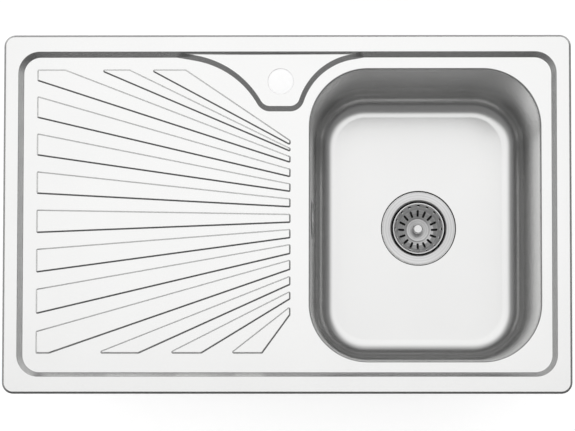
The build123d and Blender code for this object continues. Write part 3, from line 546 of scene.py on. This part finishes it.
class Skin:
    """A sheet built as one face with directions, then given its thickness and its cut edges."""

    def __init__(self):
        self.where, self.points, self.normals, self.inner, self.faces = {}, [], [], [], []

    def vertex(self, point, normal, inner):
        key = tuple(np.round(np.array(point) * POINTS_PER_METRE).astype(int))
        if key not in self.where:
            self.where[key] = len(self.points)
            self.points.append(np.array(point))
            self.normals.append(np.array(normal))
            self.inner.append(np.array(inner))
        return self.where[key]

    def face(self, corners):
        corners = [v for k, v in enumerate(corners) if v != corners[k - 1]]
        if len(corners) < 3:
            return
        a, b, c = (self.points[v] for v in (corners[0], corners[1], corners[-1]))
        facing = sum(self.normals[v] for v in corners)
        self.faces.append(corners if np.cross(b - a, c - a) @ facing > 0 else corners[::-1])

    def strip(self, contour, profile):
        """Sweeps a profile along a contour. A profile row is a spread outwards, a height, and the
        direction's outward and upward parts; the contour is a function of the spread."""
        rows = []
        for spread, height, out, up in profile:
            points, outward = contour(spread)
            row = []
            for point, way in zip(points, outward):
                normal = np.array([*(way * out), up])
                place = np.array([*point, height])
                row.append(self.vertex(place, normal, place - normal * SHEET))
            rows.append(row)
        for row, after in zip(rows, rows[1:]):
            for k in range(len(row)):
                m = (k + 1) % len(row)
                self.face([row[k], row[m], after[m], after[k]])

    def build(self, name):
        count = len(self.points)
        used = dict.fromkeys(pair for face in self.faces for pair in zip(face, face[1:] + face[:1]))
        faces = [tuple(face) for face in self.faces]
        directions = [self.normals[v] for face in faces for v in face]
        for face in self.faces:
            turned_over = [v + count for v in reversed(face)]
            faces.append(tuple(turned_over))
            directions += [-self.normals[v - count] for v in turned_over]
        for a, b in used:
            if (b, a) in used:
                continue
            faces.append((b, a, a + count, b + count))
            across = np.cross(self.points[a] - self.points[b], self.inner[a] - self.points[b])
            directions += [across / np.linalg.norm(across)] * 4
        mesh = bpy.data.meshes.new(name)
        mesh.from_pydata([tuple(p) for p in self.points + self.inner], [], faces)
        mesh.normals_split_custom_set([tuple(d) for d in directions])
        piece = bpy.data.objects.new(name, mesh)
        scene.collection.objects.link(piece)
        return piece


def bend_rows(centre, radius, start, end, segments, side=1):
    """Profile rows along an arc between two angles off upright; side -1 bends inwards."""
    rows = []
    for k in range(segments + 1):
        angle = start + (end - start) * k / segments
        out, up = side * math.sin(angle), math.cos(angle)
        rows.append((centre[0] + radius * out, centre[1] + radius * up, out, up))
    return rows


def rim_profile():
    """The rim's outer edge: a bend into a slope, a tighter bend down, and the skirt."""
    rows = bend_rows((-RIM_EDGE, RIM_Z - RIM_BEND), RIM_BEND, 0, RIM_SLOPE, 4)
    spread, height = rows[-1][:2]
    turn_start = RIM_TURN * (math.sin(RIM_SLOPE) - 1)
    turn_height = height - (turn_start - spread) * math.tan(RIM_SLOPE)
    turn_centre = (-RIM_TURN, turn_height - RIM_TURN * math.cos(RIM_SLOPE))
    rows += bend_rows(turn_centre, RIM_TURN, RIM_SLOPE, RIGHT_ANGLE, 4)
    return rows + [(0, SKIRT_Z, 1, 0)]


def lip_profile(radius, top, segments):
    """A hole's edge that turns down from level to upright."""
    return bend_rows((radius, top - radius), radius, 0, RIGHT_ANGLE, segments, -1)


def rim_contour(spread):
    return rounded_rectangle(deck_half + spread, RIM_CORNER + spread, segments=16)


def mouth_contour(spread):
    return rounded_rectangle(bowl_half + spread, BOWL_CORNER + spread, bowl_centre, 32)


def tap_contour(spread, segments=64):
    turns = [math.tau * k / segments for k in range(segments)]
    way = np.array([(math.cos(turn), math.sin(turn)) for turn in turns])
    return TAP_HOLE + way * (TAP_RADIUS + spread), way


def deck_plan():
    """The points and faces of the deck's top face in plan, with an edge along each line of a bend."""
    lines = [(contour(spread)[0], True) for contour, spread in
             ((rim_contour, -RIM_EDGE), (mouth_contour, MOUTH_EDGE), (tap_contour, TAP_LIP))]
    for offset in recess_step.offsets:
        inset = RECESS_RUN - offset
        lines.append((rounded_rectangle(recess_half - inset, RECESS_CORNER - inset)[0], True))
    for offset in ledge_step.offsets:
        lines.append((ledge_outline(LEDGE_RUN / 2 - offset), False))
    for outline in rib_outlines:
        for offset in rib_step.offsets:
            lines.append((rounded_polygon(inset_polygon(outline, offset), RIB_CORNER - offset), True))
    coords, edges = [], []
    for points, closed in lines:
        start = len(coords)
        coords += [Vector(p) for p in points]
        edges += [(start + k, start + k + 1) for k in range(len(points) - 1)]
        if closed:
            edges.append((len(coords) - 1, start))
    coords, _, faces, *_ = delaunay_2d_cdt(coords, edges, [], 0, SNAP)
    plan = np.array([tuple(v) for v in coords])
    centres = np.array([plan[list(face)].mean(axis=0) for face in faces])
    kept = rounded_distance(centres, deck_half - RIM_EDGE, RIM_CORNER - RIM_EDGE) > 0
    kept &= rounded_distance(centres - bowl_centre, bowl_half + MOUTH_EDGE, BOWL_CORNER + MOUTH_EDGE) < 0
    kept &= np.hypot(*(centres - TAP_HOLE).T) > (TAP_RADIUS + TAP_LIP) * 0.999
    return plan, [face for face, keep in zip(faces, kept) if keep]


def deck_piece():
    """The pressed deck: its top face from the plan, its edges as bends, its underside as sheet."""
    plan, faces = deck_plan()
    skin = Skin()
    index = []
    for (x, y), z, normal in zip(plan, deck_height(plan), deck_normals(plan)):
        index.append(skin.vertex((x, y, z), normal, (x, y, z - SHEET / normal[2])))
    for face in faces:
        skin.face([index[v] for v in face])
    skin.strip(rim_contour, rim_profile())
    skin.strip(mouth_contour, lip_profile(MOUTH_EDGE, DECK_Z, 6) + [(0, MOUTH_Z, -1, 0)])
    skin.strip(tap_contour, lip_profile(TAP_LIP, LEDGE_Z, 4))
    return skin.build("deck_pressing")


deck = deck_piece()
deck.data.materials.append(deck_steel)
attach(deck, "sink")
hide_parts("deck_panel")


# ---------------------------------------------------------------- floor
FLOOR_REACH = 60.0
FLOOR_DROP = 0.0005
FLOOR_COLOUR = (0.80, 0.80, 0.80, 1)
FLOOR_GLOW = 0.52
WHITE = (1, 1, 1, 1)


def floor_piece():
    """A wide pale floor. Its glow makes it white to the camera and in mirrors, and it keeps shadows."""
    z = cad_box[0].z - FLOOR_DROP
    corners = [(x * FLOOR_REACH, y * FLOOR_REACH, z) for x, y in ((-1, -1), (1, -1), (1, 1), (-1, 1))]
    mesh = bpy.data.meshes.new("floor")
    mesh.from_pydata(corners, [], [(0, 1, 2, 3)])
    piece = bpy.data.objects.new("floor", mesh)
    scene.collection.objects.link(piece)
    ground = bpy.data.materials.new("floor")
    ground.use_nodes = True
    ground.node_tree.nodes.clear()
    mesh.materials.append(ground)
    tree = Tree(ground.node_tree)
    rays = tree.add("ShaderNodeLightPath").outputs
    seen = tree.math("MAXIMUM", rays["Is Camera Ray"], rays["Is Glossy Ray"])
    seen = tree.math("MAXIMUM", seen, rays["Is Transmission Ray"])
    glow = tree.add("ShaderNodeEmission", Color=WHITE)
    tree.link(tree.math("MULTIPLY", seen, FLOOR_GLOW), glow, "Strength")
    both = tree.add("ShaderNodeAddShader")
    tree.link(tree.add("ShaderNodeBsdfDiffuse", Color=FLOOR_COLOUR).outputs[0], both, 0)
    tree.link(glow.outputs[0], both, 1)
    tree.link(both.outputs[0], tree.add("ShaderNodeOutputMaterial"), "Surface")
    return piece


floor_piece()


# ---------------------------------------------------------------- world
# The room. Each wall has a direction and three levels: near the horizon, in the band above it, and higher
# up, below the wide soft light overhead. Right at the horizon, the floor's white goes over into the walls.
WALLS = [
    (-0.35, -0.94, 0.17, 0.055, 0.21), (0.70, -0.71, 0.05, 0.06, 0.20), (1.0, 0.0, 0.78, 0.07, 0.20),
    (0.0, 1.0, 0.62, 0.11, 0.50), (-1.0, 0.0, 0.40, 0.13, 0.24),
]
WALL_FOCUS = 3.0
WALL_REST = 0.02
LEAST_LEVEL = 0.02
HORIZON_LEVEL = 0.95
# The heights, as a direction's upward part, at which one level goes over into the next.
WALL_STEP = (0.005, 0.045)
BAND_STEP = (0.13, 0.22)
HIGH_STEP = (0.42, 0.62)
# The soft light's level, and its edges as sideways over upward: where it starts, where it is full, where
# it begins to end, and where it has ended.
SOFTBOX = 1.09
SOFTBOX_X = (-1.0, -0.36, 0.24, 0.85)
SOFTBOX_Y = (-0.32, -0.06, 0.50, 1.25)
SOFTBOX_STEP = (0.1, 0.3)
LEAST_UPWARD = 0.05
# Diffuse light on plastic and rubber is lifted to about the level at which a colour shows as written.
DIFFUSE_SHARE, DIFFUSE_LEAST = 0.5, 0.55


def wall_levels(tree, dx, dy):
    """The walls' three levels in a direction, each wall weighted by how much it lies that way."""
    weights = WALL_REST
    totals = [0.0, 0.0, 0.0]
    for wall_x, wall_y, *levels in WALLS:
        toward = tree.math("MULTIPLY_ADD", dx, wall_x, tree.math("MULTIPLY", dy, wall_y))
        weight = tree.math("POWER", tree.math("MAXIMUM", toward, 0.0), WALL_FOCUS)
        weights = tree.math("ADD", weight, weights)
        totals = [tree.math("MULTIPLY_ADD", weight, level, total) for level, total in zip(levels, totals)]
    return [tree.math("MAXIMUM", tree.math("DIVIDE", total, weights), LEAST_LEVEL) for total in totals]


def studio():
    """The world: a room with a wide soft light overhead, which diffuse rays see at a lifted level."""
    world = bpy.data.worlds.new("studio")
    world.use_nodes = True
    world.node_tree.nodes.clear()
    tree = Tree(world.node_tree)
    split = tree.add("ShaderNodeSeparateXYZ")
    tree.link(tree.add("ShaderNodeTexCoord").outputs["Generated"], split, 0)
    dx, dy, dz = split.outputs
    light = HORIZON_LEVEL
    for level, step in zip(wall_levels(tree, dx, dy), (WALL_STEP, BAND_STEP, HIGH_STEP)):
        light = tree.blend(light, level, tree.smooth(dz, *step))
    above = tree.math("MAXIMUM", dz, LEAST_UPWARD)
    softbox = tree.math("MULTIPLY", tree.window(tree.math("DIVIDE", dx, above), SOFTBOX_X),
                        tree.window(tree.math("DIVIDE", dy, above), SOFTBOX_Y))
    softbox = tree.math("MULTIPLY", softbox, tree.smooth(dz, *SOFTBOX_STEP))
    light = tree.blend(light, SOFTBOX, softbox)
    lifted = tree.math("MULTIPLY_ADD", light, DIFFUSE_SHARE, DIFFUSE_LEAST)
    light = tree.blend(light, lifted, tree.add("ShaderNodeLightPath").outputs["Is Diffuse Ray"])
    background = tree.add("ShaderNodeBackground", Color=WHITE)
    tree.link(light, background, "Strength")
    tree.link(background.outputs[0], tree.add("ShaderNodeOutputWorld"), "Surface")
    return world


scene.world = studio()

# ---------------------------------------------------------------- camera
FILM_WIDTH = 36
FOCAL_RATIO = 1.88133
camera = bpy.data.cameras.new("camera")
camera.sensor_width = FILM_WIDTH
camera.lens = FOCAL_RATIO * FILM_WIDTH
camera.shift_x = -0.10
camera.shift_y = 0.21
camera_object = bpy.data.objects.new("camera", camera)
camera_object.location = (0.08575, -0.20648, 1.5)
camera_object.rotation_euler = (0.02429, 0.00362, 0.00007)
scene.collection.objects.link(camera_object)
scene.camera = camera_object
